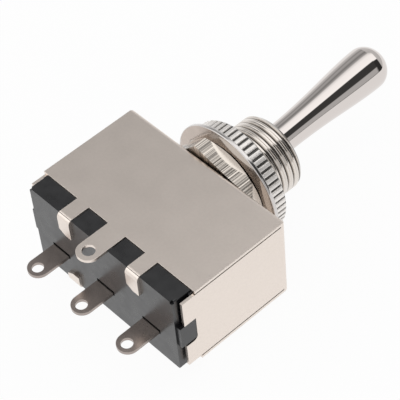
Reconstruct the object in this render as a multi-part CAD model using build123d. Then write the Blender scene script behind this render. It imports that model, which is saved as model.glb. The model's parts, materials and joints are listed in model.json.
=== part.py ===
from build123d import *
import math
import os

# Closed three-position toggle switch with a nickel-plated case. Millimetres.
# It is drawn with the outer face of the case's front plate at Y = 0: +Y runs out along the bushing
# and lever, +X across the three terminals, +Z out of the wide side that carries the ground lug.
# export() then moves everything so that the origin is the middle of the bushing's free thread.

# Case: one blank of sheet steel, folded at the front plate
case_width = 30.4
case_height = 14.3
wide_flap_depth = 16.5
end_flap_depth = 18.8
sheet = 0.45
fold_radius = 0.7
seam_gap = 0.2
relief_depth = 0.9

# Crimped tabs and ground lug on the wide flaps
tab_offset = 6.9
tab_width = 2.4
tab_leg = 3.7
far_tab_leg = 2.3
tab_bend = 0.35
tab_slant = 28.0
lug_width = 3.5
lug_reach = 6.7
lug_hole_inset = 1.75
lug_hole_radius = 0.95

# Notches in the end flaps, which the base's lugs fill
notch_top = 1.9
notch_bottom = -2.4
notch_depth = 2.0
notch_corner = 0.7

# Moulded base
base_depth = 19.8
base_top = 6.0
base_clearance = 0.05
face_end_inset = 0.8
face_length = 2.7
rim_inset = 0.05
rim_gap = 0.05
lip_width = 0.9
lip_rise = 0.15
floor_thickness = 4.6
cavity_end_wall = 2.25
cavity_side_wall = 1.35
corner_step = 0.4
base_edge = 0.25
lug_clearance = 0.05

# Solder terminals
terminal_end_inset = 5.9
terminal_width = 3.3
terminal_thickness = 0.5
terminal_level = -2.2
terminal_reach = 5.8
terminal_hole_inset = 1.45
terminal_hole_radius = 0.87
terminal_bend = 0.3
terminal_clearance = 0.02
pad_rise = 3.9
common_pad_width = 8.4
pad_inner_reach = 2.4
pad_end_clearance = 0.35

# Bushing
thread_radius = 6.0
pitch_radius = 5.7
bushing_length = 12.3
rim_chamfer = 0.45
neck_radius = 5.0
flange_radius = 6.3
flange_thickness = 0.8
bore_radius = 4.0
throat_radius = 3.45
throat_depth = 4.1
mouth_radius = 5.0
seat_depth = 5.1
neck_clearance = 0.03

# Nuts and washer, parked at the foot of the bushing
nut_clearance = 0.05
hex_flats = 15.5
hex_thickness = 2.75
hex_gap = 0.3
hex_chamfer_radius = 7.55
hex_chamfer_angle = 30.0
hex_envelope_margin = 0.1
hex_turn = 46.5
washer_radius = 9.8
washer_thickness = 0.6
washer_hole_radius = 6.1
washer_edge = 0.12
ring_radius = 8.9
ring_thickness = 2.5
ring_teeth = 54
ring_tooth_depth = 0.35
tooth_land = 0.45
tooth_flank = 0.27
ring_chamfer = 0.3
ring_chamfer_angle = 45.0
stack_gap = 0.1

# Lever
pivot_depth = 6.8
ball_radius = 3.7
lever_neck_radius = 2.15
lever_mouth_radius = 2.35
lever_middle_radius = 2.57
lever_upper_radius = 3.05
lever_tip_radius = 3.41
lever_length = 36.2
lever_shoulder = 2.9
lever_lean = 3.3
shank_radius = 1.4
shank_end_radius = 1.0
pin_radius = 0.8
pin_clearance = 0.05
pin_inset = 0.15
lever_swing = 15.0

# Foot, slider and detent
foot_radius = 2.0
foot_depth = 8.5
foot_socket_depth = 1.2
foot_clearance = 0.15
slider_clearance = 0.3
slider_end_clearance = 0.38
slider_edge = 0.4
slot_floor = 0.7
bracket_sheet = 0.6
bracket_bend = 0.3
bracket_edge_clearance = 0.15
detent_ball_radius = 1.2
ball_offset = 6.0
ball_level = 3.4
ball_drop = 0.95
track_half_width = 0.95
notch_radius = 1.1
shank_slot_half_width = 1.75
shank_slot_clearance = 0.35
spring_hole_depth = 4.7
spring_hole_clearance = 0.08

# Springs and wiper
wire_radius = 0.16
detent_spring_radius = 1.1
detent_spring_turns = 4
ball_seat = 0.96
contact_spring_turns = 4
contact_spring_offset = 4.5
contact_spring_radius = 1.0
contact_spring_seat = 2.0
wiper_thickness = 0.3
wiper_width = 2.8
wiper_foot_inset = 1.5
wiper_foot_height = 0.72
wiper_corner = 0.5
wiper_end_gap = 0.1
wiper_foot_radius = 0.9
wiper_foot_tip_radius = 0.45
wiper_gap = 0.6
contact_gap = 0.08

# Places that follow from the sizes above
half_width = case_width / 2
half_height = case_height / 2
inner_half_width = half_width - sheet
inner_half_height = half_height - sheet
base_half_width = inner_half_width - base_clearance
base_half_height = inner_half_height - base_clearance
floor_y = -(base_depth - floor_thickness)
cavity_half_width = base_half_width - cavity_end_wall
cavity_half_height = base_half_height - cavity_side_wall
face_half_width = half_width - face_end_inset
rim_half_height = half_height - rim_inset
terminal_pitch = half_width - terminal_end_inset
outer_pad_inner = terminal_pitch - pad_inner_reach
outer_pad_outer = cavity_half_width - pad_end_clearance
hex_front = hex_gap + hex_thickness
washer_back = hex_front + stack_gap
washer_front = washer_back + washer_thickness
ring_back = washer_front + stack_gap
ring_front = ring_back + ring_thickness
free_thread_start = ring_front + stack_gap
free_thread_end = bushing_length - rim_chamfer
panel_y = (free_thread_start + free_thread_end) / 2
pivot_y = bushing_length - pivot_depth
foot_y = -foot_depth
foot_arm = pivot_y - foot_y
slider_travel = foot_arm * math.radians(lever_swing)
slider_top = -(base_top + slider_clearance)
slider_half_length = cavity_half_width - slider_travel - slider_end_clearance
slider_half_height = cavity_half_height - slider_clearance
pad_top = floor_y + terminal_thickness
wiper_bottom = pad_top + contact_gap + wiper_foot_height
wiper_top = wiper_bottom + wiper_thickness
slider_bottom = wiper_top + wiper_gap
wiper_foot_spacing = terminal_pitch - wiper_foot_inset
ball_y = -(base_top + ball_drop)
spring_seat_y = slider_top - spring_hole_depth
parts = {}


def block(x0, x1, y0, y1, z0, z1):
    middle = Pos((x0 + x1) / 2, (y0 + y1) / 2, (z0 + z1) / 2)
    return middle * Box(abs(x1 - x0), abs(y1 - y0), abs(z1 - z0))


def rod(radius, y0, y1, x=0.0, z=0.0):
    return Pos(x, (y0 + y1) / 2, z) * Rot(90, 0, 0) * Cylinder(radius, abs(y1 - y0))


def cross_rod(radius, z0, z1, x=0.0, y=0.0):
    return Pos(x, y, (z0 + z1) / 2) * Cylinder(radius, abs(z1 - z0))


def turned(*outline):
    """A solid of revolution about the bushing's axis, from (radius, y) points."""
    return revolve(make_face(Polyline(*outline, close=True)), Axis.Y)


def bent_strip(points, width, thickness, inner_radius):
    """A strip of sheet that follows a path in a plane of constant X, with rounded bends."""
    path = FilletPolyline(*points, radius=inner_radius + thickness / 2)
    start = Plane(origin=path @ 0, x_dir=(1, 0, 0), z_dir=path % 0)
    return sweep(start * Rectangle(width, thickness), path=path)


def coil(radius, wire, turns, y0, y1, x=0.0, z=0.0):
    """A compression spring along Y, between two seats, its wire kept inside the seats."""
    height = (y1 - y0) - 2 * wire
    path = Helix(pitch=height / turns, height=height, radius=radius - wire)
    start = Plane(origin=path @ 0, z_dir=path % 0)
    spring = sweep(start * RegularPolygon(wire, 6), path=path)
    return Pos(x, y1 - wire, z) * Rot(90, 0, 0) * spring


def folded_shell():
    """Front plate, two wide flaps and two end flaps, with open seams between the flaps."""
    outer = block(-half_width, half_width, -end_flap_depth, 0, -half_height, half_height)
    front = outer.edges().filter_by(Plane.XZ).group_by(Axis.Y)[-1]
    outer = fillet(front, fold_radius)
    room = block(-inner_half_width, inner_half_width, -end_flap_depth, -sheet,
                 -inner_half_height, inner_half_height)
    inside = room.edges().filter_by(Plane.XZ).group_by(Axis.Y)[-1]
    shell = outer - fillet(inside, fold_radius - sheet)
    for side in (-1, 1):
        for end in (-1, 1):
            shell -= block(end * inner_half_width, end * (half_width + 1),
                           -end_flap_depth, -relief_depth,
                           side * (inner_half_height - seam_gap), side * inner_half_height)
        shell -= block(-half_width - 1, half_width + 1, -end_flap_depth - 1, -wide_flap_depth,
                       side * (inner_half_height - seam_gap), side * (half_height + 1))
    return shell


def end_notch(end):
    """The notch in an end flap: square above, rounded below."""
    deep = -end_flap_depth + notch_depth
    notch = block(end * (inner_half_width - 1), end * (half_width + 1),
                  -end_flap_depth - 1, deep, notch_bottom, notch_top)
    corner = notch.edges().filter_by(Axis.X).group_by(Axis.Y)[-1].sort_by(Axis.Z)[0]
    return fillet(corner, notch_corner)


def crimped_tab(x, side, leg):
    """A tab that leaves a wide flap's edge and is bent down over the base's terminal face."""
    level = side * (half_height - sheet / 2)
    outside = -(base_depth + sheet / 2)
    tip = side * (half_height - leg)
    strip = bent_strip([(x, -wide_flap_depth + sheet, level), (x, outside, level), (x, outside, tip)],
                       tab_width, sheet, tab_bend)
    slanted = Pos(x, outside, tip) * Rot(0, side * tab_slant, 0) * Pos(0, 0, -side * tab_width)
    return strip - slanted * Box(4 * tab_width, 2, 2 * tab_width)


def ground_lug():
    """The solder lug that continues the near wide flap, straight out past the base."""
    end = -(wide_flap_depth + lug_reach)
    centre = end + lug_width / 2
    lug = block(-lug_width / 2, lug_width / 2, centre, -wide_flap_depth + sheet,
                inner_half_height, half_height)
    lug += cross_rod(lug_width / 2, inner_half_height, half_height, 0, centre)
    return lug - cross_rod(lug_hole_radius, inner_half_height - 1, half_height + 1,
                           0, end + lug_hole_inset)


def case():
    shell = folded_shell()
    for end in (-1, 1):
        shell -= end_notch(end)
    for x in (-tab_offset, tab_offset):
        shell += crimped_tab(x, 1, tab_leg)
        shell += crimped_tab(x, -1, far_tab_leg)
    shell += ground_lug()
    return shell - rod(neck_radius + neck_clearance, -2 * sheet, sheet)


def base_outline():
    """The moulding's outside: a body inside the case, a rim flush with the wide flaps, and end lugs."""
    face_start = -(base_depth - face_length)
    body = block(-base_half_width, base_half_width, face_start, -base_top,
                 -base_half_height, base_half_height)
    body += block(-face_half_width, face_half_width, -base_depth, face_start,
                  -base_half_height, base_half_height)
    level = rim_half_height - lip_rise
    body += block(-face_half_width, face_half_width, -base_depth, -(wide_flap_depth + rim_gap),
                  -level, level)
    lip = block(-face_half_width, face_half_width, -base_depth, -base_depth + lip_width,
                -rim_half_height, rim_half_height)
    body += fillet(lip.edges().filter_by(Axis.Y), base_edge)
    body -= block(-lug_width / 2 - lug_clearance, lug_width / 2 + lug_clearance, -base_depth - 1,
                  -wide_flap_depth, inner_half_height, half_height)
    for end in (-1, 1):
        body += block(end * (face_half_width - 1), end * (half_width - lug_clearance),
                      -base_depth + base_edge, -end_flap_depth + notch_depth - lug_clearance,
                      notch_bottom + notch_corner / 2, notch_top - lug_clearance)
        body -= block(end * (face_half_width - corner_step), end * (face_half_width + 1),
                      -base_depth - 1, -base_depth + corner_step, rim_half_height - corner_step, half_height)
    return body


def cavity():
    return block(-cavity_half_width, cavity_half_width, floor_y, 0,
                 -cavity_half_height, cavity_half_height)


def terminal_base():
    """Base with the slider's cavity and a slot through the floor for each terminal."""
    body = base_outline() - cavity()
    across = terminal_width / 2 + terminal_clearance
    through = terminal_thickness / 2 + terminal_clearance
    for x in (-terminal_pitch, 0, terminal_pitch):
        body -= block(x - across, x + across, -base_depth - 1, floor_y + 1,
                      terminal_level - through, terminal_level + through)
        body -= block(x - across, x + across, floor_y - terminal_bend - terminal_clearance, floor_y + 1,
                      terminal_level, terminal_level + through + terminal_bend)
    for side, leg in ((1, tab_leg), (-1, far_tab_leg)):
        for x in (-tab_offset, tab_offset):
            body -= crimped_tab(x, side, leg)
    return body


def terminal(x, pad_from, pad_to):
    """A stamped strip with a solder eye outside and a contact pad bent over on the base's floor."""
    end = -(base_depth + terminal_reach)
    centre = end + terminal_width / 2
    pad_y = floor_y + terminal_thickness / 2
    rise = terminal_level + pad_rise
    strip = bent_strip([(x, centre, terminal_level), (x, pad_y, terminal_level), (x, pad_y, rise)],
                       terminal_width, terminal_thickness, terminal_bend)
    low, high = terminal_level - terminal_thickness / 2, terminal_level + terminal_thickness / 2
    strip += cross_rod(terminal_width / 2, low, high, x, centre)
    strip += block(pad_from, pad_to, floor_y, pad_top, high + terminal_bend, rise)
    return strip - cross_rod(terminal_hole_radius, low - 1, high + 1, x, end + terminal_hole_inset)


def bushing():
    """Barrel with a flange swaged behind the front plate, a ball bore and a flared mouth.

    The thread is a plain cylinder: at its pitch radius where the nuts sit, at its crest where it is free.
    """
    rim = bushing_length
    barrel = turned(
        (bore_radius, -sheet - flange_thickness), (flange_radius, -sheet - flange_thickness),
        (flange_radius, -sheet), (neck_radius, -sheet), (neck_radius, 0), (pitch_radius, 0),
        (pitch_radius, free_thread_start), (thread_radius, free_thread_start),
        (thread_radius, free_thread_end), (thread_radius - rim_chamfer, rim), (mouth_radius, rim),
        (throat_radius, rim - throat_depth), (bore_radius, rim - seat_depth))
    return barrel - cross_rod(pin_radius, -thread_radius, thread_radius, 0, pivot_y)


def chamfered_disc(radius, y0, y1, face_radius, angle):
    """The turned envelope of a nut: a disc with both faces' corners cut back to face_radius."""
    drop = (radius - face_radius) * math.tan(math.radians(angle))
    return turned((0, y0), (face_radius, y0), (radius, y0 + drop), (radius, y1 - drop),
                  (face_radius, y1), (0, y1))


def hex_nut():
    corner = hex_flats / math.sqrt(3)
    prism = Pos(0, hex_front, 0) * Rot(90, 0, 0) * extrude(RegularPolygon(corner, 6), hex_thickness)
    prism = Rot(0, -hex_turn, 0) * prism
    envelope = chamfered_disc(corner + hex_envelope_margin, hex_gap, hex_front,
                              hex_chamfer_radius, hex_chamfer_angle)
    return (prism & envelope) - rod(pitch_radius + nut_clearance, hex_gap - 1, hex_front + 1)


def flat_washer():
    disc = rod(washer_radius, washer_back, washer_front)
    disc = fillet(disc.edges(), washer_edge)
    return disc - rod(washer_hole_radius, washer_back - 1, washer_front + 1)


def toothed_outline(radius, depth, teeth):
    """Coin-edge outline: flat-topped teeth with V grooves between them."""
    points = []
    for i in range(teeth):
        for part, r in ((0.0, radius), (tooth_land, radius), (tooth_land + tooth_flank, radius - depth)):
            angle = 2 * math.pi * (i + part) / teeth
            points.append((r * math.cos(angle), r * math.sin(angle)))
    return make_face(Polyline(*points, close=True))


def knurled_ring_nut():
    outline = toothed_outline(ring_radius, ring_tooth_depth, ring_teeth)
    ring = Pos(0, ring_front, 0) * Rot(90, 0, 0) * extrude(outline, ring_thickness)
    envelope = chamfered_disc(ring_radius, ring_back, ring_front, ring_radius - ring_chamfer,
                              ring_chamfer_angle)
    return (ring & envelope) - rod(pitch_radius + nut_clearance, ring_back - 1, ring_front + 1)


def bat():
    """The bat above the pivot, from a root inside the ball; it leans off the shank about the pivot."""
    neck_y = pivot_y + math.sqrt(ball_radius ** 2 - lever_neck_radius ** 2)
    shoulder_y = lever_length - lever_shoulder
    mouth_y = bushing_length
    rise = shoulder_y - mouth_y
    side = Spline((lever_neck_radius, neck_y), (lever_mouth_radius, mouth_y),
                  (lever_middle_radius, mouth_y + 0.38 * rise), (lever_upper_radius, mouth_y + 0.72 * rise),
                  (lever_tip_radius, shoulder_y), tangents=[(0.05, 1), (0.03, 1)])
    ellipse = [(lever_tip_radius * math.cos(math.radians(turn)),
                shoulder_y + lever_shoulder * math.sin(math.radians(turn))) for turn in (20, 40, 60, 75)]
    dome = Spline(side @ 1, *ellipse, (0, lever_length), tangents=[(0, 1), (-1, 0)])
    root = Polyline((0, lever_length), (0, pivot_y), (lever_neck_radius, pivot_y),
                    (lever_neck_radius, neck_y))
    upright = revolve(make_face([side, dome, root]), Axis.Y)
    return Pos(0, pivot_y, 0) * Rot(0, 0, lever_lean) * Pos(0, -pivot_y, 0) * upright


def lever():
    """Bat lever, pivot ball and shank in one piece, cross-drilled for the pin."""
    under_y = pivot_y - math.sqrt(ball_radius ** 2 - shank_radius ** 2)
    ball = ThreePointArc((shank_radius, under_y), (ball_radius, pivot_y), (0, pivot_y + ball_radius))
    tail = Polyline((0, pivot_y + ball_radius), (0, foot_y - foot_socket_depth),
                    (shank_end_radius, foot_y - foot_socket_depth), (shank_end_radius, foot_y + foot_radius),
                    (shank_radius, foot_y + foot_radius), (shank_radius, under_y))
    body = revolve(make_face([ball, tail]), Axis.Y) + bat()
    return body - cross_rod(pin_radius + pin_clearance, -ball_radius - 1, ball_radius + 1, 0, pivot_y)


def pivot_pin():
    half = pitch_radius - pin_inset
    return cross_rod(pin_radius, -half, half, 0, pivot_y)


def lever_foot():
    """Nylon ball pressed on the shank's reduced end."""
    foot = Pos(0, foot_y, 0) * Sphere(foot_radius)
    foot -= rod(shank_end_radius, foot_y - foot_socket_depth, foot_y + foot_radius + 1)
    return foot


def slider():
    """Contact carrier: a cross slot for the foot, ball holes above and spring seats below."""
    body = block(-slider_half_length, slider_half_length, slider_bottom, slider_top,
                 -slider_half_height, slider_half_height)
    body = fillet(body.edges().filter_by(Axis.Y), slider_edge)
    side = foot_radius + foot_clearance
    body -= block(-side, side, foot_y - foot_radius - slot_floor, slider_top + 1, -side, side)
    for end in (-1, 1):
        hole = detent_ball_radius + spring_hole_clearance
        body -= rod(hole, spring_seat_y, slider_top + 1, end * ball_offset, end * ball_level)
        seat = contact_spring_radius + spring_hole_clearance
        body -= rod(seat, slider_bottom - 1, slider_bottom + contact_spring_seat,
                    end * contact_spring_offset, 0)
    return body


def detent_track(end):
    """A straight track with three wider notches, one for each lever position."""
    x, z = end * ball_offset, end * ball_level
    y0, y1 = -base_top - 1, -base_top + bracket_sheet + 1
    track = block(x - slider_travel, x + slider_travel, y0, y1, z - track_half_width, z + track_half_width)
    for step in (-1, 0, 1):
        track += rod(notch_radius, y0, y1, x + step * slider_travel, z)
    return track


def detent_bracket():
    """Steel channel between the front plate and the base: it holds the base down and guides the balls."""
    top = -sheet
    half = base_half_width - bracket_edge_clearance
    level = base_half_height - bracket_edge_clearance
    bracket = block(-half, half, -base_top, top, -level, level)
    bend = bracket.edges().filter_by(Axis.Z).group_by(Axis.Y)[0]
    bracket = fillet(bend, bracket_bend + bracket_sheet)
    inside = block(-half + bracket_sheet, half - bracket_sheet, -base_top + bracket_sheet, top + 1,
                   -level - 1, level + 1)
    lower = inside.edges().filter_by(Axis.Z).group_by(Axis.Y)[0]
    bracket -= fillet(lower, bracket_bend)
    reach = (pivot_y + base_top) * math.tan(math.radians(lever_swing)) + shank_radius
    reach += shank_slot_clearance
    bracket -= block(-reach, reach, -base_top - 1, -base_top + 2 * bracket_sheet,
                     -shank_slot_half_width, shank_slot_half_width)
    for end in (-1, 1):
        bracket -= detent_track(end)
    return bracket


def detent_ball(end):
    return Pos(end * ball_offset, ball_y, end * ball_level) * Sphere(detent_ball_radius)


def detent_spring(end):
    return coil(detent_spring_radius, wire_radius, detent_spring_turns, spring_seat_y,
                ball_y - ball_seat, end * ball_offset, end * ball_level)


def wiper_contact():
    """Bronze strip that bridges the fixed pads on three domed feet."""
    half = slider_half_length - wiper_end_gap
    strip = block(-half, half, wiper_bottom, wiper_top, -wiper_width / 2, wiper_width / 2)
    strip = fillet(strip.edges().filter_by(Axis.Y), wiper_corner)
    for x in (-wiper_foot_spacing, 0, wiper_foot_spacing):
        strip += Pos(x, wiper_bottom, 0) * Rot(90, 0, 0) * Cone(
            wiper_foot_radius, wiper_foot_tip_radius, wiper_foot_height,
            align=(Align.CENTER, Align.CENTER, Align.MIN))
    return strip


def contact_spring(end):
    return coil(contact_spring_radius, wire_radius, contact_spring_turns, wiper_top,
                slider_bottom + contact_spring_seat, end * contact_spring_offset, 0)


def build():
    parts["case"] = case()
    parts["terminal_base"] = terminal_base()
    half = common_pad_width / 2
    parts["terminal_common"] = terminal(0, -half, half)
    parts["terminal_left"] = terminal(-terminal_pitch, -outer_pad_outer, -outer_pad_inner)
    parts["terminal_right"] = terminal(terminal_pitch, outer_pad_inner, outer_pad_outer)
    parts["bushing"] = bushing()
    parts["hex_nut"] = hex_nut()
    parts["flat_washer"] = flat_washer()
    parts["knurled_ring_nut"] = knurled_ring_nut()
    parts["lever"] = lever()
    parts["pivot_pin"] = pivot_pin()
    parts["lever_foot"] = lever_foot()
    parts["slider"] = slider()
    parts["detent_bracket"] = detent_bracket()
    parts["wiper_contact"] = wiper_contact()
    for side, end in (("left", -1), ("right", 1)):
        parts["detent_ball_" + side] = detent_ball(end)
        parts["detent_spring_" + side] = detent_spring(end)
        parts["contact_spring_" + side] = contact_spring(end)


def export():
    os.makedirs("parts", exist_ok=True)
    for name, solid in parts.items():
        export_step(Pos(0, -panel_y, 0) * solid, "parts/" + name + ".step")
    print("origin above the front plate:", round(panel_y, 3))
    print("pivot:", round(pivot_y - panel_y, 4), "foot arm:", round(foot_arm, 4),
          "slider travel:", round(slider_travel, 4))


build()
export()
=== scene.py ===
import bpy
import bmesh
import json
import math
from mathutils import Matrix, Vector


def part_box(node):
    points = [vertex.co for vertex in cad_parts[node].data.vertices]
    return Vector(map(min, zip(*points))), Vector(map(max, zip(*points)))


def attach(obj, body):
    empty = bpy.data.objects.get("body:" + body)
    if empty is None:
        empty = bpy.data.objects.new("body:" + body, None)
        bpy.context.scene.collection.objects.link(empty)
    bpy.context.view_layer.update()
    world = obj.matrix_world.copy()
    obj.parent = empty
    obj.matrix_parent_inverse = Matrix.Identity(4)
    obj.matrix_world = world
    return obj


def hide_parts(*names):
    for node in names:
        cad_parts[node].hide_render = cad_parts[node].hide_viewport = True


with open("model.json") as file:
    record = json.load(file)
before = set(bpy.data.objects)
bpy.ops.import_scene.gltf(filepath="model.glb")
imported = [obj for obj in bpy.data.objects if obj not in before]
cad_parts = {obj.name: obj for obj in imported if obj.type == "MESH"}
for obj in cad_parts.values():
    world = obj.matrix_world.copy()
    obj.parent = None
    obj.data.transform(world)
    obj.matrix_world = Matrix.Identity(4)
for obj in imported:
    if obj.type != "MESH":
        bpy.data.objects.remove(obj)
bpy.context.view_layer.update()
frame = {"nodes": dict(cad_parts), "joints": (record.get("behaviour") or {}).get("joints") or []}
nodes = frame["nodes"]
scene = bpy.context.scene
mm = 0.001
origin = Vector((0, 0, 0))
alongY = Vector((0, 1, 0))


def linear(hexColour):
    values = [int(hexColour[i:i + 2], 16) / 255 for i in (1, 3, 5)]  # sRGB hex to linear
    return tuple(v / 12.92 if v <= 0.04045 else ((v + 0.055) / 1.055) ** 2.4 for v in values) + (1,)


def addNode(tree, kind, settings=None, inputs=None):
    node = tree.nodes.new("ShaderNode" + kind)
    for name, value in (settings or {}).items():
        setattr(node, name, value)
    for name, value in (inputs or {}).items():  # a pair of a node and its output is a link
        if isinstance(value, tuple) and isinstance(value[0], bpy.types.Node):
            tree.links.new(value[0].outputs[value[1]], node.inputs[name])
        else:
            node.inputs[name].default_value = value
    return node


def newMaterial(name):
    material = bpy.data.materials.new(name)
    material.use_nodes = True
    tree = material.node_tree
    tree.nodes.clear()
    return material, tree


def finishMaterial(tree, shader):
    output = tree.nodes.new("ShaderNodeOutputMaterial")
    tree.links.new(shader.outputs[0], output.inputs["Surface"])


def setRamp(ramp, stops):
    elements = ramp.color_ramp.elements
    while len(elements) > 1:
        elements.remove(elements[-1])
    elements[0].position, elements[0].color = stops[0]
    for position, colour in stops[1:]:
        elements.new(position).color = colour


def grey(value):
    return (value, value, value, 1)


def makePiece(bm, name, body, material, replaced=(), sharpAngle=35):
    bmesh.ops.remove_doubles(bm, verts=bm.verts[:], dist=0.0005 * mm)
    bmesh.ops.recalc_face_normals(bm, faces=bm.faces[:])
    mesh = bpy.data.meshes.new(name)
    bm.to_mesh(mesh)
    bm.free()
    mesh.shade_smooth()
    mesh.set_sharp_from_angle(angle=math.radians(sharpAngle))
    mesh.materials.append(material)
    piece = bpy.data.objects.new(name, mesh)
    scene.collection.objects.link(piece)
    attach(piece, body)
    if replaced:
        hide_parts(*replaced)


def spinOutline(bm, outline, steps):
    corners = [bm.verts.new((radius * mm, y * mm, 0)) for radius, y in outline]
    closed = corners + corners[:1] if outline[0][0] > 0 else corners
    edges = [bm.edges.new(pair) for pair in zip(closed, closed[1:])]
    bmesh.ops.spin(bm, geom=corners + edges, cent=origin, axis=alongY, angle=2 * math.pi,
                   steps=steps, use_merge=True)


# Grows a wall from a loop. place gives the new radius and y in mm, from the angle about the bushing's axis.
def growLoop(bm, edges, place):
    made = bmesh.ops.extrude_edge_only(bm, edges=edges)["geom"]
    for v in (g for g in made if isinstance(g, bmesh.types.BMVert)):
        angle = math.atan2(v.co.z, v.co.x)
        radius, y = place(angle)
        v.co = Vector((radius * math.cos(angle), y, radius * math.sin(angle))) * mm
    return [g for g in made if isinstance(g, bmesh.types.BMEdge) and g.is_boundary]


def growAll(bm, edges, levels):
    for place in levels:
        edges = growLoop(bm, edges, place)
    return edges


def fixed(radius, y):
    return lambda angle: (radius, y)


def startLoop(bm, radius, y, steps):
    bmesh.ops.create_circle(bm, segments=steps, radius=radius * mm,
                            matrix=Matrix.Rotation(math.pi / 2, 4, "X"))
    for v in bm.verts:
        v.co.y = y * mm
    return bm.edges[:]


print("frame and helpers ready")


# Places, in millimetres, from the frame.
def reach(node):
    low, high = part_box(node)
    return low / mm, high / mm


caseHigh = reach("case")[1]
baseLow = reach("terminal_base")[0]
footHigh = reach("lever_foot")[1]
hexLow, hexHigh = reach("hex_nut")
barrelLow, barrelHigh = reach("bushing")
washerLow, washerHigh = reach("flat_washer")
ringLow, ringHigh = reach("knurled_ring_nut")
leverLow, leverHigh = reach("lever")
pivotY = next(j for j in frame["joints"] if j["name"] == "lever_tilt")["pos_m"][1] / mm


# Matt nickel plate on cold-rolled steel: a warm grey that scatters what it reflects, with the steel's
# grain showing through as a faint mottle.
mattNickel = {"colour": "#EEE3DA", "deeper": 0.93, "roughness": 0.31, "spread": 0.012, "grain": 0.45,
              "depth": 0.004, "edge": 0.07}

# Bright nickel over turned brass: slightly warm, with fine rings left by the tool. Painted shade darkens
# the thread down in its roots.
turnedNickel = {"colour": "#E4DDD6", "deeper": 0.94, "roughness": 0.16, "spread": 0.04, "grain": 0.3,
                "depth": 0.004, "stretch": (0.15, 1.0, 0.15), "shadedRoots": (5.78, 5.95), "rootShadeShare": 0.3}

# Bright nickel over a punched hexagon: each flat is smooth in front, where the punch went in, and torn
# into streaks behind, where the blank broke away.
punchedNickel = {"colour": "#E6DDD3", "deeper": 0.95, "roughness": 0.2, "spread": 0.04, "grain": 0.17,
                 "depth": 0.07, "around": 7.6, "streak": 0.22, "lines": (0.66, 0.42), "break": -15.3,
                 "blur": 0.1, "smooth": 0.02}

# Bright nickel over blanked and tumbled steel: clear, with broad cloudy marks.
tumbledNickel = {"colour": "#DCD8D6", "deeper": 0.84, "roughness": 0.12, "spread": 0.04, "grain": 1.6,
                 "depth": 0.02}

# Nickel over pressed teeth: the rolling tool leaves the lands satin. Painted shade darkens the grooves
# between the teeth.
satinNickel = {"colour": "#FAF6F2", "deeper": 0.92, "roughness": 0.48, "spread": 0.05, "grain": 0.3,
               "depth": 0.01, "shadedRoots": (8.66, 8.8), "rootShadeShare": 0.22}

# Hard chrome, polished on the lever: a clear mirror, a little greyer than nickel.
polishedChrome = {"colour": "#DAD3CF", "deeper": 0.98, "roughness": 0.02, "spread": 0.005, "grain": 2.0,
                  "depth": 0.0015}

# Tinned brass strip, blanked and dipped: dull grey with a slight brown cast, its edges rounded by the tin.
tinnedBrass = {"colour": "#AFA49E", "deeper": 0.85, "roughness": 0.22, "spread": 0.06, "grain": 1.0,
               "depth": 0.006, "edge": 0.05}

# Hardened and polished spring steel, cool grey.
springSteel = {"colour": "#A9A9AC", "deeper": 0.9, "roughness": 0.25, "spread": 0.05, "grain": 0.4,
               "depth": 0.002}

# Bright zinc plate: bluish grey with a soft sheen.
zincPlate = {"colour": "#B4B9BC", "deeper": 0.88, "roughness": 0.3, "spread": 0.06, "grain": 0.8,
             "depth": 0.003}

# Phosphor bronze strip, rolled: orange brown, smooth along the roll.
rolledBronze = {"colour": "#C08A5A", "deeper": 0.9, "roughness": 0.22, "spread": 0.05, "grain": 0.5,
                "depth": 0.002, "stretch": (0.2, 1.0, 1.0)}

# Black phenolic, compression moulded: satin, with faint flow marks in the gloss.
blackPhenolic = {"colour": "#0D0D10", "paler": 1.6, "roughness": 0.3, "spread": 0.05, "flow": 1.8,
                 "depth": 0.002, "ior": 1.65, "clear": 0.0}

# Natural nylon: milky, lets a little light through.
naturalNylon = {"colour": "#DAD6CC", "paler": 1.05, "roughness": 0.4, "spread": 0.05, "flow": 2.5,
                "depth": 0.002, "ior": 1.65, "clear": 0.3}

cloudSize = 3.5  # mm, handling marks in the gloss of every metal
noiseRange = (0.3, 0.7)  # most of a noise lies between these
endFaces = (0.97, 0.92)  # a face that lies more along the axis than this may get painted shade at its root
scatter = (0.6, 0.5, 0.4)  # mm, red light goes deepest into a plastic


def scaled(colour, factor):
    return tuple(min(c * factor, 1.0) for c in colour[:3]) + (1,)


# The noise raises the surface and tints it. The gloss follows a broader cloud where one is given.
def markedSurface(tree, look, place, size, other, cloud=None):
    noise = addNode(tree, "TexNoise", inputs={"Vector": place, "Scale": 1 / (size * mm), "Detail": 2.0})
    bump = addNode(tree, "Bump", inputs={"Height": (noise, "Fac"), "Strength": 1.0,
                                         "Distance": look["depth"] * mm})
    rough = addNode(tree, "MapRange", inputs={
        "Value": (cloud or noise, "Fac"), "From Min": noiseRange[0], "From Max": noiseRange[1],
        "To Min": look["roughness"] - look["spread"], "To Max": look["roughness"] + look["spread"]})
    colour = linear(look["colour"])
    tint = addNode(tree, "Mix", {"data_type": "RGBA"}, {"Factor": (noise, "Fac"), "A": colour,
                                                        "B": scaled(colour, other)})
    return noise, bump, rough, tint


# How far out from the part's own axis, or which way.
def fromAxis(tree, coords, operation):
    outward = addNode(tree, "VectorMath", {"operation": "MULTIPLY"}, {0: (coords, "Object"), 1: (1, 0, 1)})
    return addNode(tree, "VectorMath", {"operation": operation}, {0: (outward, "Vector")})


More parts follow.
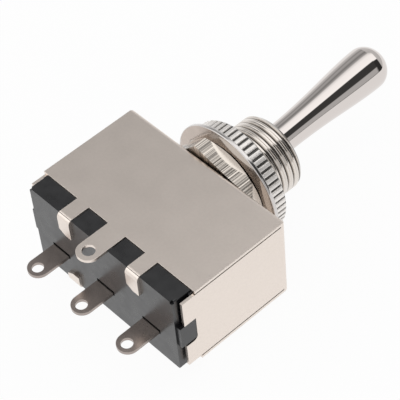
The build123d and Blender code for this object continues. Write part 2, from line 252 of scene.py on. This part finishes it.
def metalMaterial(name, look):
    material, tree = newMaterial(name)
    coords = addNode(tree, "TexCoord")
    if "around" in look:  # marks that only change round the axis, at this radius in mm
        unit = fromAxis(tree, coords, "NORMALIZE")
        place = addNode(tree, "VectorMath", {"operation": "SCALE"},
                        {0: (unit, "Vector"), "Scale": look["around"] * mm})
    else:
        place = addNode(tree, "Mapping", inputs={"Vector": (coords, "Object"),
                                                 "Scale": look.get("stretch", (1.0, 1.0, 1.0))})
    cloud = addNode(tree, "TexNoise", inputs={"Vector": (coords, "Object"), "Scale": 1 / (cloudSize * mm),
                                              "Detail": 2.0})
    noise, bump, rough, tint = markedSurface(tree, look, (place, "Vector"), look["grain"], look["deeper"],
                                             cloud)
    colour = linear(look["colour"])
    if "shadedRoots" in look:  # painted shade in the roots: darker below these radii from the part's own axis, in mm
        lowest, highest = look["shadedRoots"]
        radius = fromAxis(tree, coords, "LENGTH")
        down = addNode(tree, "MapRange", inputs={"Value": (radius, "Value"), "From Min": highest * mm,
                                                 "From Max": lowest * mm})
        facing = addNode(tree, "SeparateXYZ", inputs={"Vector": (coords, "Normal")})
        square = addNode(tree, "Math", {"operation": "ABSOLUTE"}, {0: (facing, "Y")})
        side = addNode(tree, "MapRange", inputs={"Value": (square, "Value"), "From Min": endFaces[0],
                                                 "From Max": endFaces[1]})  # the end faces get no painted shade
        paintedRootShade = addNode(tree, "Math", {"operation": "MULTIPLY"}, {0: (down, "Result"), 1: (side, "Result")})
        # painted shade: the colour is darkened in the roots to stand in for the shade there
        tint = addNode(tree, "Mix", {"data_type": "RGBA"}, {
            "Factor": (paintedRootShade, "Value"), "A": (tint, "Result"), "B": scaled(colour, look["rootShadeShare"])})
    if "streak" in look:  # torn behind a cone about the axis: distance along it less the radius, in mm
        radius = fromAxis(tree, coords, "LENGTH")
        ahead = addNode(tree, "SeparateXYZ", inputs={"Vector": (coords, "Object")})
        cone = addNode(tree, "Math", {"operation": "SUBTRACT"}, {0: (ahead, "Y"), 1: (radius, "Value")})
        torn = addNode(tree, "MapRange", inputs={
            "Value": (cone, "Value"), "From Min": (look["break"] + look["blur"]) * mm,
            "From Max": (look["break"] - look["blur"]) * mm, "To Min": look["smooth"], "To Max": 1.0})
        tree.links.new(torn.outputs["Result"], bump.inputs["Strength"])
        lines = addNode(tree, "MapRange", inputs={"Value": (noise, "Fac"), "From Min": look["lines"][0],
                                                  "From Max": look["lines"][1]})
        dark = addNode(tree, "Math", {"operation": "MULTIPLY"}, {0: (lines, "Result"), 1: (torn, "Result")})
        tint = addNode(tree, "Mix", {"data_type": "RGBA"}, {
            "Factor": (dark, "Value"), "A": (tint, "Result"), "B": scaled(colour, look["streak"])})
    if "edge" in look:
        edges = addNode(tree, "Bevel", {"samples": 8}, {"Radius": look["edge"] * mm})
        tree.links.new(edges.outputs["Normal"], bump.inputs["Normal"])
    shader = addNode(tree, "BsdfPrincipled", inputs={
        "Base Color": (tint, "Result"), "Metallic": 1.0, "Roughness": (rough, "Result"),
        "Normal": (bump, "Normal")})
    finishMaterial(tree, shader)
    return material


def plasticMaterial(name, look):
    material, tree = newMaterial(name)
    coords = addNode(tree, "TexCoord")
    noise, bump, rough, tint = markedSurface(tree, look, (coords, "Object"), look["flow"], look["paler"])
    shader = addNode(tree, "BsdfPrincipled", inputs={
        "Base Color": (tint, "Result"), "Roughness": (rough, "Result"), "IOR": look["ior"],
        "Normal": (bump, "Normal"), "Subsurface Weight": look["clear"]})
    shader.inputs["Subsurface Radius"].default_value = [depth * mm for depth in scatter]
    finishMaterial(tree, shader)
    return material


materials = {
    "mattNickel": metalMaterial("matt_nickel_plate", mattNickel),
    "turnedNickel": metalMaterial("nickel_on_turned_brass", turnedNickel),
    "punchedNickel": metalMaterial("nickel_on_punched_hexagon", punchedNickel),
    "tumbledNickel": metalMaterial("nickel_on_tumbled_steel", tumbledNickel),
    "satinNickel": metalMaterial("nickel_on_rolled_teeth", satinNickel),
    "chrome": metalMaterial("polished_chrome", polishedChrome),
    "tin": metalMaterial("tinned_brass", tinnedBrass),
    "steel": metalMaterial("spring_steel", springSteel),
    "zinc": metalMaterial("zinc_plated_steel", zincPlate),
    "bronze": metalMaterial("phosphor_bronze", rolledBronze),
    "phenolic": plasticMaterial("black_phenolic", blackPhenolic),
    "nylon": plasticMaterial("natural_nylon", naturalNylon),
}

dress = {"case": "mattNickel", "terminal_base": "phenolic", "pivot_pin": "steel", "lever_foot": "nylon",
         "slider": "nylon", "detent_bracket": "zinc", "wiper_contact": "bronze"}
for side in ("left", "right"):
    for moving in ("detent_ball_", "detent_spring_", "contact_spring_"):
        dress[moving + side] = "steel"
for side in ("left", "common", "right"):
    dress["terminal_" + side] = "tin"
for node, look in dress.items():
    mesh = nodes[node].data
    mesh.materials.clear()
    mesh.materials.append(materials[look])

print("materials ready:", len(materials))


# The lever's bat, pivot ball and shank. It leans to the left, and sits loose in its bushing.
bat = {"neck": 2.15, "neckTaper": 0.1, "mouth": 2.35, "widest": 3.41, "shoulder": 2.9, "swell": 1.35,
       "rows": 26, "domeRows": 12, "steps": 128, "ball": 3.62, "ballRows": 24, "shank": 1.4,
       "shankEnd": 1.0, "play": 0.42, "lean": 2.5}


def batRadius(y, mouthY, shoulderY):
    t = min(max((y - mouthY) / (shoulderY - mouthY), 0), 1) ** bat["swell"]
    return bat["mouth"] + (bat["widest"] - bat["mouth"]) * t * t * (3 - 2 * t)


def makeLever():
    tipY, shoulderY, mouthY = leverHigh.y, leverHigh.y - bat["shoulder"], barrelHigh.y
    outline = [(0, pivotY), (bat["neck"] - bat["neckTaper"], pivotY), (bat["neck"], pivotY + bat["ball"])]
    for i in range(bat["rows"] + 1):
        y = mouthY + (shoulderY - mouthY) * i / bat["rows"]
        outline.append((batRadius(y, mouthY, shoulderY), y))
    for i in range(1, bat["domeRows"]):
        turn = math.pi / 2 * i / bat["domeRows"]
        outline.append((bat["widest"] * math.cos(turn), shoulderY + bat["shoulder"] * math.sin(turn)))
    outline.append((0, tipY))
    bm = bmesh.new()
    spinOutline(bm, outline, bat["steps"])
    bmesh.ops.rotate(bm, verts=bm.verts[:], cent=Vector((0, pivotY * mm, 0)),
                     matrix=Matrix.Rotation(math.radians(bat["lean"]), 3, "Z"))
    bmesh.ops.translate(bm, verts=bm.verts[:], vec=Vector((-bat["play"] * mm, 0, 0)))

    ball = [(0, leverLow.y), (bat["shankEnd"], leverLow.y), (bat["shankEnd"], footHigh.y),
            (bat["shank"], footHigh.y)]
    first = math.asin(bat["shank"] / bat["ball"])
    for i in range(bat["ballRows"]):
        turn = first + (math.pi - first) * i / bat["ballRows"]
        ball.append((bat["ball"] * math.sin(turn), pivotY - bat["ball"] * math.cos(turn)))
    ball.append((0, pivotY + bat["ball"]))
    spinOutline(bm, ball, bat["steps"] // 2)
    makePiece(bm, "lever_bat", "lever", materials["chrome"], ["lever"], sharpAngle=50)


makeLever()
print("lever ready")


# The washer is blanked and tumbled, so its edge is round.
washer = {"hole": 6.1, "edge": 0.14, "edgeRows": 5, "steps": 192}


def makeWasher():
    r, low, high, edge = washerHigh.x, washerLow.y, washerHigh.y, washer["edge"]
    outline = [(washer["hole"], low), (r - edge, low)]
    for y, start in ((low + edge, -90), (high - edge, 0)):
        for i in range(1, washer["edgeRows"] + 1):
            turn = math.radians(start + 90 * i / washer["edgeRows"])
            outline.append((r - edge + edge * math.cos(turn), y + edge * math.sin(turn)))
    outline.append((washer["hole"], high))
    bm = bmesh.new()
    spinOutline(bm, outline, washer["steps"])
    makePiece(bm, "washer_disc", "housing", materials["tumbledNickel"], ["flat_washer"],
              sharpAngle=40)


makeWasher()
print("washer ready")


# The hexagon nut is square at the back and chamfered in front. It is moved closer to the case.
hexNut = {"flats": 15.5, "backEdge": 0.06, "frontFace": 7.4, "frontDegrees": 30, "bore": 5.75,
          "lead": 0.5, "steps": 720, "closer": 0.18}


def makeHexNut():
    low, high = hexLow.y - hexNut["closer"], hexHigh.y
    bore, lead, back = hexNut["bore"], hexNut["lead"], hexNut["backEdge"]
    tip = max((v.co for v in nodes["hex_nut"].data.vertices), key=lambda co: math.hypot(co.x, co.z))
    corner = math.atan2(tip.z, tip.x)

    def flatRadius(angle):
        across = (angle - corner) % (math.pi / 3) - math.pi / 6
        return hexNut["flats"] / 2 / math.cos(across)

    def frontEdge(angle):
        radius = flatRadius(angle)
        return radius, high - (radius - hexNut["frontFace"]) * math.tan(math.radians(hexNut["frontDegrees"]))

    levels = [fixed(bore + lead, low), lambda angle: (flatRadius(angle) - back, low),
              lambda angle: (flatRadius(angle), low + back), frontEdge,
              fixed(hexNut["frontFace"], high), fixed(bore + lead, high), fixed(bore, high - lead),
              fixed(bore, low + lead)]
    bm = bmesh.new()
    growAll(bm, startLoop(bm, bore, low + lead, hexNut["steps"]), levels)
    makePiece(bm, "hex_nut_flats", "hex_nut", materials["punchedNickel"], ["hex_nut"],
              sharpAngle=20)


makeHexNut()
print("hexagon nut ready")


# The ring nut is coin-edged, and chamfered on both faces. Its teeth are flat lands with sloping sides, as
# shares of half a tooth.
ring = {"teeth": 54, "perTooth": 16, "offset": 0.28, "land": 0.5, "slope": 0.4, "crown": 0.04,
        "groove": 0.34, "chamfer": 0.32, "chamferRows": 3, "bore": 5.75, "lead": 0.5}


def toothRadius(angle):
    across = 2 * ((angle / (2 * math.pi) * ring["teeth"] + ring["offset"]) % 1) - 1
    down = min(max((abs(across) - ring["land"]) / ring["slope"], 0), 1)
    return ringHigh.x - ring["crown"] * across ** 2 - ring["groove"] * down * down * (3 - 2 * down)


def makeRing():
    low, high, chamfer, rows = ringLow.y, ringHigh.y, ring["chamfer"], ring["chamferRows"]
    bore, lead = ring["bore"], ring["lead"]
    face = ringHigh.x - chamfer

    def level(limit, y):
        return lambda angle: (min(toothRadius(angle), limit), y)

    levels = [fixed(bore + lead, low), fixed(face - ring["groove"], low), level(face, low)]
    levels += [level(ringHigh.x - chamfer * (1 - i / rows), low + chamfer * i / rows)
               for i in range(1, rows + 1)]
    levels += [level(ringHigh.x - chamfer * i / rows, high - chamfer * (1 - i / rows))
               for i in range(rows + 1)]
    levels += [fixed(face - ring["groove"], high), fixed(bore + lead, high), fixed(bore, high - lead),
               fixed(bore, low + lead)]
    bm = bmesh.new()
    growAll(bm, startLoop(bm, bore, low + lead, ring["teeth"] * ring["perTooth"]), levels)
    makePiece(bm, "ring_nut_coin_edge", "ring_nut", materials["satinNickel"],
              ["knurled_ring_nut"], sharpAngle=28)


makeRing()
print("ring nut ready")


# The bushing has a rolled thread, whose broad crests meet in a seam, a chamfered rim and a flared mouth.
# land is a share of the pitch, rootHalf of the groove and roundDrop of the crest's rounding.
barrel = {"pitch": 1.1, "crest": 6.0, "root": 5.68, "land": 0.64, "round": 0.05, "roundDrop": 0.4,
          "rootRise": 0.05, "rootHalf": 0.12, "seam": 0.07, "rim": 5.55, "chamfer": 0.5, "mouth": 5.2,
          "throat": 3.75, "throatDepth": 4.1, "bore": 4.1, "seatDepth": 5.1, "pitchRadius": 5.7,
          "neck": 5.0, "flange": 6.3, "sheet": 0.45, "clearance": 0.05, "steps": 120}


def makeBarrel():
    rimY, startY = barrelHigh.y, ringHigh.y + barrel["clearance"]
    pitch, crest, root, edge = barrel["pitch"], barrel["crest"], barrel["root"], barrel["round"]
    land = barrel["land"] * pitch
    groove = pitch - land
    middle, seam = land / 2, barrel["seam"]
    low, half = root + barrel["rootRise"], barrel["rootHalf"]
    shoulder = crest - edge * barrel["roundDrop"]
    outline = [(crest, edge), (crest, middle - seam), (crest - seam, middle), (crest, middle + seam),
               (crest, land - edge), (shoulder, land), (low, land + groove * (0.5 - half)),
               (root, land + groove * 0.5), (low, land + groove * (0.5 + half)), (shoulder, pitch),
               (crest, pitch + edge)]
    bm = bmesh.new()
    corners = [bm.verts.new((r * mm, (startY - pitch + y) * mm, 0)) for r, y in outline]
    edges = [bm.edges.new(pair) for pair in zip(corners, corners[1:])]
    turns = math.ceil((rimY - startY) / pitch) + 2
    bmesh.ops.spin(bm, geom=corners + edges, cent=origin, axis=alongY, angle=2 * math.pi * turns,
                   steps=barrel["steps"] * turns, dvec=alongY * (pitch * mm / barrel["steps"]))
    bmesh.ops.remove_doubles(bm, verts=bm.verts[:], dist=0.002 * mm)
    for y, side in ((startY, -1), (rimY, 1)):
        bmesh.ops.bisect_plane(bm, geom=bm.verts[:] + bm.edges[:] + bm.faces[:], dist=0.0001 * mm,
                               plane_co=alongY * (y * mm), plane_no=alongY * side, clear_outer=True)
    chamferSlope = (crest - barrel["rim"]) / barrel["chamfer"]
    for v in bm.verts:
        radius = math.hypot(v.co.x, v.co.z)
        limit = (barrel["rim"] + (rimY - v.co.y / mm) * chamferSlope) * mm
        if radius > limit:
            v.co.x, v.co.z = v.co.x * limit / radius, v.co.z * limit / radius

    def ends(y):
        return [e for e in bm.edges if e.is_boundary
                and all(abs(v.co.y - y * mm) < 0.001 * mm for v in e.verts)]

    inner = growAll(bm, ends(rimY), [
        fixed(barrel["mouth"], rimY), fixed(barrel["throat"], rimY - barrel["throatDepth"]),
        fixed(barrel["bore"], rimY - barrel["seatDepth"]), fixed(barrel["bore"], barrelLow.y)])
    plateY = caseHigh.y
    backY = plateY - barrel["sheet"]
    outer = growAll(bm, ends(startY), [
        fixed(barrel["pitchRadius"], startY), fixed(barrel["pitchRadius"], plateY),
        fixed(barrel["neck"], plateY), fixed(barrel["neck"], backY), fixed(barrel["flange"], backY),
        fixed(barrel["flange"], barrelLow.y)])
    bmesh.ops.bridge_loops(bm, edges=inner + outer)
    makePiece(bm, "bushing_thread", "housing", materials["turnedNickel"], ["bushing"],
              sharpAngle=30)


makeBarrel()
print("bushing ready")


# Painted shade round the terminals, where they leave the base: a thin near-black pad over each stands in for
# the shade in a slot.
slots = {"places": (-9.3, 0, 9.3), "width": 3.5, "bottom": -2.5, "top": -1.7, "proud": 0.03, "deep": 0.3}


def makeSlots():
    material, tree = newMaterial("slot_shade")  # painted shade: near-black and dull, standing in for the shade deep in a slot
    shader = addNode(tree, "BsdfPrincipled", inputs={"Base Color": linear("#050505"), "Roughness": 0.9,
                                                     "Specular IOR Level": 0.1})
    finishMaterial(tree, shader)
    size = Vector((slots["width"], slots["proud"] + slots["deep"], slots["top"] - slots["bottom"]))
    bm = bmesh.new()
    for x in slots["places"]:
        made = bmesh.ops.create_cube(bm, size=mm)
        bmesh.ops.scale(bm, verts=made["verts"], vec=size)
        middle = Vector((x, baseLow.y - slots["proud"] + size.y / 2, (slots["top"] + slots["bottom"]) / 2))
        bmesh.ops.translate(bm, verts=made["verts"], vec=middle * mm)
    makePiece(bm, "terminal_slot_shade_pads", "housing", material)


makeSlots()
print("slots ready")


# A level white card. The part stands on its washer's rim.
stand = {"size": 1600, "gap": 0.03, "card": 0.92, "backdrop": 0.94}


def makeFloor():
    bm = bmesh.new()
    bmesh.ops.create_grid(bm, x_segments=4, y_segments=4, size=stand["size"] / 2 * mm)
    bmesh.ops.translate(bm, verts=bm.verts[:], vec=Vector((0, 0, washerLow.z - stand["gap"])) * mm)
    mesh = bpy.data.meshes.new("floor")
    bm.to_mesh(mesh)
    bm.free()
    material, tree = newMaterial("white_card")
    path = addNode(tree, "LightPath")
    seen = addNode(tree, "Math", {"operation": "ADD"},
                   {0: (path, "Is Camera Ray"), 1: (path, "Is Glossy Ray")})
    seen = addNode(tree, "Math", {"operation": "ADD"},
                   {0: (seen, "Value"), 1: (path, "Is Transmission Ray")})
    share = addNode(tree, "Math", {"operation": "MULTIPLY"}, {0: (seen, "Value"), 1: stand["backdrop"]})
    lit = addNode(tree, "BsdfDiffuse", inputs={"Color": grey(stand["card"])})
    bright = addNode(tree, "Emission", inputs={"Color": grey(1.0), "Strength": 1.0})
    shader = addNode(tree, "MixShader", inputs={0: (share, "Value"), 1: (lit, "BSDF"),
                                                2: (bright, "Emission")})
    finishMaterial(tree, shader)
    mesh.materials.append(material)
    floor = bpy.data.objects.new("floor", mesh)
    scene.collection.objects.link(floor)


# The studio round the lever's axis, in degrees up from the right, with levels as shares of full. The zones
# follow one another along that axis, and each blends in between its two places, of -1 behind the
# terminals and 1 where the lever points: the rear, the sides of the case, the sides of the nuts and lever,
# the lever's dome and the far wall. The nuts and lever see a dark gap beside the overhead softbox.
studio = {"full": 1.8, "zones": [
    {"levels": [(-180, 0.5), (-60, 0.5), (0, 0.38), (60, 0.45), (112, 0.6), (122, 0.8), (140, 0.8),
                (155, 0.55), (180, 0.5)]},
    {"from": (-0.25, -0.12), "levels": [(-180, 0.5), (-60, 0.5), (0, 0.38), (60, 0.5), (120, 0.58),
                                        (160, 0.5), (180, 0.5)]},
    {"from": (0.05, 0.25), "levels": [
        (-180, 0.42), (-120, 0.5), (-60, 0.5), (-4, 0.36), (-2, 0.1), (1, 0.1), (3, 0.3), (27, 0.3),
        (31, 0.03), (65, 0.03), (68, 0.74), (100, 0.7), (112, 0.55), (119, 0.25), (131, 0.14), (139, 0.24),
        (147, 0.27), (155, 0.18), (166, 0.33), (180, 0.42)]},
    {"from": (0.56, 0.6), "levels": [
        (-180, 0.42), (-60, 0.5), (-24, 0.34), (-20, 0.02), (62, 0.02), (66, 0.74), (100, 0.7), (112, 0.52),
        (120, 0.33), (180, 0.42)]},
    {"from": (0.76, 0.84), "levels": [(-180, 0.36), (180, 0.36)]}]}


def makeStudio():
    world = bpy.data.worlds.new("studio")
    scene.world = world
    world.use_nodes = True
    tree = world.node_tree
    tree.nodes.clear()
    coords = addNode(tree, "TexCoord")
    parts = addNode(tree, "SeparateXYZ", inputs={"Vector": (coords, "Generated")})
    turn = addNode(tree, "Math", {"operation": "ARCTAN2"}, {0: (parts, "Z"), 1: (parts, "X")})
    share = addNode(tree, "MapRange", inputs={"Value": (turn, "Value"), "From Min": -math.pi,
                                              "From Max": math.pi})
    level = None
    for zone in studio["zones"]:
        ramp = addNode(tree, "ValToRGB", inputs={"Fac": (share, "Result")})
        setRamp(ramp, [((degrees + 180) / 360, grey(value)) for degrees, value in zone["levels"]])
        if level is None:
            level = (ramp, "Color")
            continue
        start, end = zone["from"]
        inZone = addNode(tree, "MapRange", {"interpolation_type": "SMOOTHSTEP"},
                         {"Value": (parts, "Y"), "From Min": start, "From Max": end})
        level = (addNode(tree, "Mix", {"data_type": "RGBA"}, {
            "Factor": (inZone, "Result"), "A": level, "B": (ramp, "Color")}), "Result")
    light = addNode(tree, "Background", inputs={"Color": level, "Strength": studio["full"]})
    output = tree.nodes.new("ShaderNodeOutputWorld")
    tree.links.new(light.outputs[0], output.inputs["Surface"])


# Long lens, from above and behind the terminals, with a slight roll.
view = {"lens": 155.6, "sensor": 36.0, "place": (124.085, -110.13, 181.006),
        "right": (0.682, 0.7281, -0.0694), "up": (-0.5174, 0.5473, 0.6578)}


def makeCamera():
    data = bpy.data.cameras.new("camera")
    data.lens, data.sensor_width = view["lens"], view["sensor"]
    data.clip_start, data.clip_end = 0.01, 10
    camera = bpy.data.objects.new("camera", data)
    scene.collection.objects.link(camera)
    right, up = Vector(view["right"]).normalized(), Vector(view["up"])
    back = right.cross(up).normalized()
    up = back.cross(right)
    turn = Matrix((right, up, back)).transposed().to_4x4()
    camera.matrix_world = Matrix.Translation(Vector(view["place"]) * mm) @ turn
    scene.camera = camera


makeFloor()
makeStudio()
makeCamera()
scene.view_settings.view_transform = "Standard"
print("stage ready")
